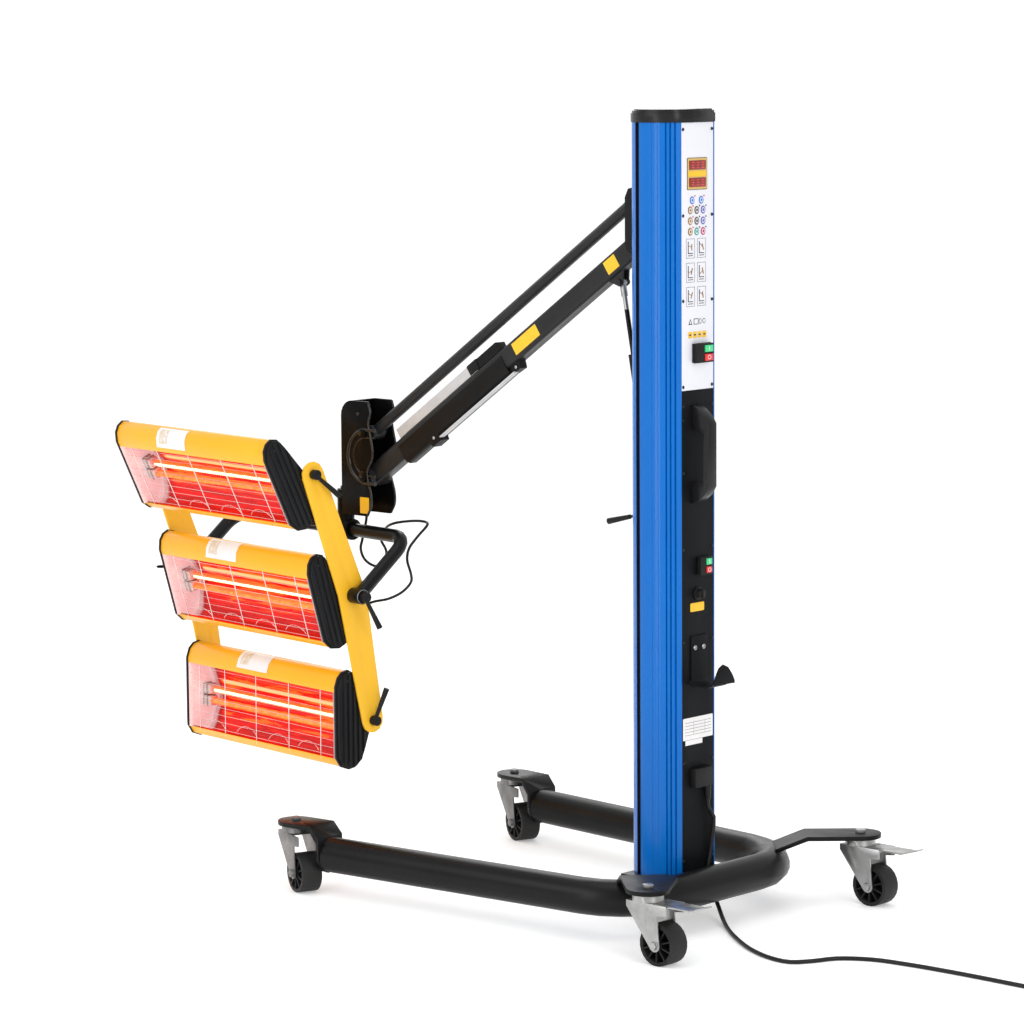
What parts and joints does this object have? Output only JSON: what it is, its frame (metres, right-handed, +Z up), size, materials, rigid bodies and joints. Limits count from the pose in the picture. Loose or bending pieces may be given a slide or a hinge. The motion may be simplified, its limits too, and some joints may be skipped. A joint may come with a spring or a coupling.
{
  "type": "infrared paint curing lamp",
  "caption": "Mobile infrared paint curing lamp: castered base, column with control panel, strut-held arm and a tilting yoke of lamp heads.",
  "frame": {"origin": "floor point under the middle of the footprint without the mains cord", "axes": "+Z up, +X from the lamps toward the control panel, -Y toward the viewer of the picture"},
  "size_m": [2.4788, 0.7857, 1.6743],
  "materials": {
    "black_steel": "satin black powder coat",
    "grey_steel": "satin dark grey powder coat",
    "zinc": "bright zinc plate",
    "tyre": "matte black rubber",
    "column_blue": "gloss blue powder coat",
    "black_plastic": "matte black plastic",
    "white_sheet": "satin printed sheet",
    "panel_black": "matte black powder coat",
    "red_plastic": "gloss red plastic",
    "green_plastic": "gloss green plastic",
    "aluminium": "brushed aluminium",
    "lamp_yellow": "satin yellow powder coat",
    "bar_yellow": "satin yellow powder coat",
    "quartz": "glowing quartz tube",
    "cord": "black rubber sheath"
  },
  "bodies": {
    "frame": {"base_frame": "black_steel", "rear_outrigger_near": "black_steel", "rear_outrigger_far": "black_steel", "column_extrusion": "column_blue", "column_cap": "black_plastic", "control_sheet": "white_sheet", "lower_panel": "panel_black", "main_switch_housing": "black_plastic", "lamp_switch_housing": "black_plastic", "bow_handle": "black_plastic", "cord_hook": "panel_black", "inlet_socket": "black_plastic", "cord_strain_relief": "black_plastic", "arm_carrier": "black_steel", "mains_cord_run": "cord", "mains_cord_coil": "cord", "mains_plug": "black_plastic"},
    "arm": {"main_arm": "grey_steel", "arm_rail": "aluminium"},
    "link": {"link_rod": "grey_steel"},
    "strut_barrel": {"strut_cylinder": "black_steel"},
    "strut_piston": {"strut_rod": "black_steel"},
    "strut_release": {"strut_lever": "black_plastic"},
    "head": {"head_bracket": "black_steel", "lamp_lead": "cord"},
    "clamp": {"swivel_clamp": "black_steel"},
    "clamp_handle": {"swivel_lever": "black_plastic"},
    "yoke_frame": {"yoke": "black_steel"},
    "lamp_frame": {"side_bar_right": "bar_yellow", "side_bar_left": "bar_yellow"},
    "lamp_top": {"lamp_shell_top": "lamp_yellow", "lamp_cap_top_right": "black_plastic", "lamp_cap_top_left": "black_plastic", "quartz_tube_top": "quartz"},
    "lever_top": {"clamp_lever_top": "black_plastic"},
    "lamp_middle": {"lamp_shell_middle": "lamp_yellow", "lamp_cap_middle_right": "black_plastic", "lamp_cap_middle_left": "black_plastic", "quartz_tube_middle": "quartz"},
    "lever_middle": {"clamp_lever_middle": "black_plastic"},
    "lamp_bottom": {"lamp_shell_bottom": "lamp_yellow", "lamp_cap_bottom_right": "black_plastic", "lamp_cap_bottom_left": "black_plastic", "quartz_tube_bottom": "quartz"},
    "lever_bottom": {"clamp_lever_bottom": "black_plastic"},
    "caster_front_near": {"caster_fork_front_near": "zinc"},
    "wheel_front_near": {"caster_wheel_front_near": "tyre"},
    "caster_front_far": {"caster_fork_front_far": "zinc"},
    "wheel_front_far": {"caster_wheel_front_far": "tyre"},
    "caster_rear_near": {"caster_fork_rear_near": "zinc"},
    "wheel_rear_near": {"caster_wheel_rear_near": "tyre"},
    "pedal_rear_near": {"brake_pedal_rear_near": "zinc"},
    "caster_rear_far": {"caster_fork_rear_far": "zinc"},
    "wheel_rear_far": {"caster_wheel_rear_far": "tyre"},
    "pedal_rear_far": {"brake_pedal_rear_far": "zinc"},
    "main_off": {"main_off_button": "red_plastic"},
    "main_on": {"main_on_button": "green_plastic"},
    "lamp_off": {"lamp_off_button": "red_plastic"},
    "lamp_on": {"lamp_on_button": "green_plastic"},
    "fuse": {"fuse_cap": "black_plastic"}
  },
  "joints": [
    {"name": "arm_pitch", "type": "hinge", "parent": "frame", "child": "arm", "pos_m": [0.425, 0, 1.395], "axis": [0, 1, 0], "range_deg": [-12, 55]},
    {"name": "link_pitch", "type": "hinge", "parent": "frame", "child": "link", "pos_m": [0.425, 0, 1.493], "axis": [0, 1, 0], "range_deg": [-13, 56]},
    {"name": "head_level", "type": "hinge", "parent": "arm", "child": "head", "pos_m": [-0.35099, 0, 0.85708], "axis": [0, 1, 0], "range_deg": [-56, 13]},
    {"name": "strut_swing", "type": "hinge", "parent": "frame", "child": "strut_barrel", "pos_m": [0.463, 0, 0.87], "axis": [0, 1, 0], "range_deg": [-5.53, 1.99]},
    {"name": "strut_stroke", "type": "slide", "parent": "strut_barrel", "child": "strut_piston", "axis": [-0.1874, 0, 0.9823], "range_m": [-0.0178, 0.0779]},
    {"name": "strut_release_lever", "type": "hinge", "parent": "frame", "child": "strut_release", "pos_m": [0.465, 0, 0.844], "axis": [0, 1, 0], "range_deg": [0, 12], "stiffness_Nm_per_rad": 0.6},
    {"name": "head_swivel", "type": "hinge", "parent": "head", "child": "clamp", "pos_m": [-0.445, 0, 0.808], "axis": [0, 0, 1], "range_deg": [-100, 35], "deforming": ["lamp_lead"]},
    {"name": "swivel_clamp_lever", "type": "hinge", "parent": "clamp", "child": "clamp_handle", "pos_m": [-0.445, 0, 0.732], "axis": [0.1219, 0.9925, 0], "range_deg": [-60, 60]},
    {"name": "yoke_tilt", "type": "hinge", "parent": "clamp", "child": "yoke_frame", "pos_m": [-0.445, 0, 0.732], "axis": [0.9925, -0.1219, 0], "range_deg": [-20, 25], "deforming": ["lamp_lead"]},
    {"name": "lamp_frame_tilt", "type": "hinge", "parent": "yoke_frame", "child": "lamp_frame", "pos_m": [-0.5571, -0.12527, 0.617], "axis": [0.9925, -0.1219, 0], "range_deg": [-15, 40], "deforming": ["lamp_lead"]},
    {"name": "lamp_tilt_top", "type": "hinge", "parent": "lamp_frame", "child": "lamp_top", "pos_m": [-0.56978, -0.2285, 0.89], "axis": [0.9925, -0.1219, 0], "range_deg": [-20, 20]},
    {"name": "clamp_lever_turn_top", "type": "hinge", "parent": "lamp_frame", "child": "lever_top", "pos_m": [-0.56978, -0.2285, 0.89], "axis": [0.9925, -0.1219, 0], "range_deg": [-90, 90]},
    {"name": "lamp_tilt_middle", "type": "hinge", "parent": "lamp_frame", "child": "lamp_middle", "pos_m": [-0.5571, -0.12527, 0.617], "axis": [0.9925, -0.1219, 0], "range_deg": [-20, 20], "deforming": ["lamp_lead"]},
    {"name": "clamp_lever_turn_middle", "type": "hinge", "parent": "yoke_frame", "child": "lever_middle", "pos_m": [-0.5571, -0.12527, 0.617], "axis": [0.9925, -0.1219, 0], "range_deg": [-90, 90]},
    {"name": "lamp_tilt_bottom", "type": "hinge", "parent": "lamp_frame", "child": "lamp_bottom", "pos_m": [-0.55076, -0.07366, 0.334], "axis": [0.9925, -0.1219, 0], "range_deg": [-20, 20]},
    {"name": "clamp_lever_turn_bottom", "type": "hinge", "parent": "lamp_frame", "child": "lever_bottom", "pos_m": [-0.55076, -0.07366, 0.334], "axis": [0.9925, -0.1219, 0], "range_deg": [-90, 90]},
    {"name": "caster_swivel_front_near", "type": "hinge", "parent": "frame", "child": "caster_front_near", "pos_m": [-0.25857, -0.34701, 0.14], "axis": [0, 0, 1], "continuous": true},
    {"name": "wheel_spin_front_near", "type": "hinge", "parent": "caster_front_near", "child": "wheel_front_near", "pos_m": [-0.22098, -0.36069, 0.04263], "axis": [0.342, 0.9397, 0], "continuous": true},
    {"name": "caster_swivel_front_far", "type": "hinge", "parent": "frame", "child": "caster_front_far", "pos_m": [-0.25857, 0.34701, 0.14], "axis": [0, 0, 1], "continuous": true},
    {"name": "wheel_spin_front_far", "type": "hinge", "parent": "caster_front_far", "child": "wheel_front_far", "pos_m": [-0.22098, 0.33332, 0.04263], "axis": [0.342, 0.9397, 0], "continuous": true},
    {"name": "caster_swivel_rear_near", "type": "hinge", "parent": "frame", "child": "caster_rear_near", "pos_m": [0.739, -0.344, 0.14], "axis": [0, 0, 1], "range_deg": [-100, 100]},
    {"name": "wheel_spin_rear_near", "type": "hinge", "parent": "caster_rear_near", "child": "wheel_rear_near", "pos_m": [0.779, -0.344, 0.04263], "axis": [0, 1, 0], "continuous": true},
    {"name": "brake_pedal_rear_near", "type": "hinge", "parent": "caster_rear_near", "child": "pedal_rear_near", "pos_m": [0.797, -0.344, 0.1192], "axis": [0, 1, 0], "range_deg": [0, 12]},
    {"name": "caster_swivel_rear_far", "type": "hinge", "parent": "frame", "child": "caster_rear_far", "pos_m": [0.739, 0.344, 0.14], "axis": [0, 0, 1], "range_deg": [-100, 100]},
    {"name": "wheel_spin_rear_far", "type": "hinge", "parent": "caster_rear_far", "child": "wheel_rear_far", "pos_m": [0.779, 0.344, 0.04263], "axis": [0, 1, 0], "continuous": true},
    {"name": "brake_pedal_rear_far", "type": "hinge", "parent": "caster_rear_far", "child": "pedal_rear_far", "pos_m": [0.797, 0.344, 0.1192], "axis": [0, 1, 0], "range_deg": [0, 12]},
    {"name": "main_off_press", "type": "slide", "parent": "frame", "child": "main_off", "axis": [-1, 0, 0], "range_m": [0, 0.003], "stiffness_N_per_m": 400},
    {"name": "main_on_press", "type": "slide", "parent": "frame", "child": "main_on", "axis": [-1, 0, 0], "range_m": [0, 0.003], "stiffness_N_per_m": 400},
    {"name": "lamp_off_press", "type": "slide", "parent": "frame", "child": "lamp_off", "axis": [-1, 0, 0], "range_m": [0, 0.003], "stiffness_N_per_m": 400},
    {"name": "lamp_on_press", "type": "slide", "parent": "frame", "child": "lamp_on", "axis": [-1, 0, 0], "range_m": [0, 0.003], "stiffness_N_per_m": 400},
    {"name": "fuse_cap_turn", "type": "hinge", "parent": "frame", "child": "fuse", "pos_m": [0.5802, -0.001, 0.684], "axis": [1, 0, 0], "range_deg": [0, 90]}
  ],
  "couplings": [
    {"joint": "link_pitch", "follows": "arm_pitch", "ratio": 1},
    {"joint": "head_level", "follows": "arm_pitch", "ratio": -1},
    {"joint": "strut_swing", "follows": "arm_pitch", "ratio": -0.08245},
    {"joint": "strut_stroke", "follows": "arm_pitch", "m_per_rad": 0.080064}
  ]
}
